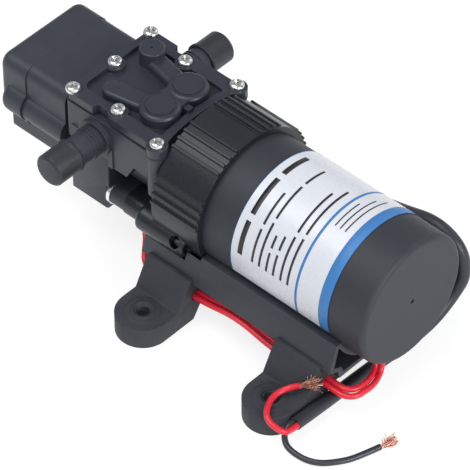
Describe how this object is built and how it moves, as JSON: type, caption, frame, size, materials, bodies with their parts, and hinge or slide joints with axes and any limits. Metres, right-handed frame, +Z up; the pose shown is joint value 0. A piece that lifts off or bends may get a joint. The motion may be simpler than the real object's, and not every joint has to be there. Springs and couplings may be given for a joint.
{
  "type": "water pressure pump",
  "caption": "Small electric diaphragm pump: round motor on a rail with rubber feet, ribbed jacket, valve head with two capped hose tails, and a pressure switch.",
  "frame": {"origin": "middle of the four mounting holes, on the floor plane under the rubber feet", "axes": "+X along the motor towards its closed end, -Y towards the inlet hose tail, +Z up"},
  "size_m": [0.1826, 0.1018, 0.0642],
  "materials": {
    "moulded_black": "satin moulded black plastic",
    "can_paint": "satin black paint on drawn steel",
    "label_film": "printed film, white with a blue band",
    "soft_rubber": "matt black rubber",
    "seal_rubber": "soft black rubber",
    "zinc_screws": "bright zinc plate",
    "bright_plate": "bright rolled edge",
    "ground_steel": "ground steel",
    "bush_bronze": "sintered bronze",
    "laminations": "stacked steel sheets",
    "winding_copper": "enamelled copper wire",
    "bar_copper": "bare copper",
    "ferrite": "ground ferrite",
    "carbon": "pressed carbon",
    "inner_plastic": "natural nylon",
    "red_pvc": "glossy red insulation",
    "black_pvc": "black flexible insulation"
  },
  "bodies": {
    "pump_body": {"base_rail": "moulded_black", "bearing_plate": "bright_plate", "black_lead": "black_pvc", "black_strands": "bar_copper", "brush_holder": "inner_plastic", "brush_springs": "ground_steel", "brushes": "carbon", "cover_gasket": "seal_rubber", "cover_screws": "zinc_screws", "crank_block": "moulded_black", "crankcase": "moulded_black", "foot_front": "soft_rubber", "foot_rear": "soft_rubber", "front_bush": "bush_bronze", "jacket_screws": "zinc_screws", "magnets": "ferrite", "microswitch_body": "inner_plastic", "middle_bush": "bush_bronze", "motor_can": "can_paint", "motor_grommet": "soft_rubber", "motor_jacket": "moulded_black", "motor_label": "label_film", "pressure_adjuster": "inner_plastic", "pump_diaphragm": "seal_rubber", "rail_screws": "zinc_screws", "rear_bush": "bush_bronze", "red_lead": "red_pvc", "red_strands": "bar_copper", "red_wire_inner": "red_pvc", "red_wire_outer": "red_pvc", "supply_cable": "black_pvc", "switch_box": "moulded_black", "switch_cap_screws": "zinc_screws", "switch_diaphragm": "seal_rubber", "switch_end_cap": "moulded_black", "switch_ring": "inner_plastic", "switch_spring": "ground_steel", "switch_tray": "moulded_black", "top_cover": "moulded_black", "valve_housing": "moulded_black", "valve_plate": "moulded_black"},
    "rotor": {"shaft": "ground_steel", "armature_core": "laminations", "armature_windings": "winding_copper", "commutator_hub": "inner_plastic", "commutator_bars": "bar_copper", "eccentric": "ground_steel", "bearing_inner_race": "ground_steel"},
    "rod": {"connecting_rod": "inner_plastic", "bearing_outer_race": "ground_steel", "bearing_balls": "ground_steel", "diaphragm_washer": "ground_steel", "diaphragm_screw": "ground_steel"},
    "inlet_flap": {"inlet_valve": "seal_rubber"},
    "outlet_flap": {"outlet_valve": "seal_rubber"},
    "plunger": {"switch_plunger": "inner_plastic"},
    "button": {"microswitch_button": "inner_plastic"},
    "front_cap": {"port_cap_front": "soft_rubber"},
    "back_cap": {"port_cap_back": "soft_rubber"}
  },
  "joints": [
    {"name": "rotor_spin", "type": "hinge", "parent": "pump_body", "child": "rotor", "pos_m": [0, 0, 0.0375], "axis": [1, 0, 0], "continuous": true, "deforming": ["pump_diaphragm"]},
    {"name": "rod_swing", "type": "hinge", "parent": "rotor", "child": "rod", "pos_m": [-0.0535, 0, 0.0362], "axis": [1, 0, 0], "continuous": true},
    {"name": "inlet_valve_lift", "type": "slide", "parent": "pump_body", "child": "inlet_flap", "axis": [0, 0, -1], "range_m": [0, 0.0009], "stiffness_N_per_m": 20},
    {"name": "outlet_valve_lift", "type": "slide", "parent": "pump_body", "child": "outlet_flap", "axis": [0, 0, 1], "range_m": [0, 0.0009], "stiffness_N_per_m": 20},
    {"name": "plunger_push", "type": "slide", "parent": "pump_body", "child": "plunger", "axis": [-1, 0, 0], "range_m": [0, 0.0012], "stiffness_N_per_m": 400, "deforming": ["switch_spring"]},
    {"name": "button_push", "type": "slide", "parent": "pump_body", "child": "button", "axis": [-1, 0, 0], "range_m": [0, 0.0012]},
    {"name": "front_cap_pull", "type": "slide", "parent": "pump_body", "child": "front_cap", "axis": [0, -1, 0], "range_m": [0, 0.014]},
    {"name": "back_cap_pull", "type": "slide", "parent": "pump_body", "child": "back_cap", "axis": [0, 1, 0], "range_m": [0, 0.014]}
  ],
  "couplings": [
    {"joint": "rod_swing", "follows": "rotor_spin", "ratio": -1},
    {"joint": "button_push", "follows": "plunger_push", "ratio": 1}
  ]
}
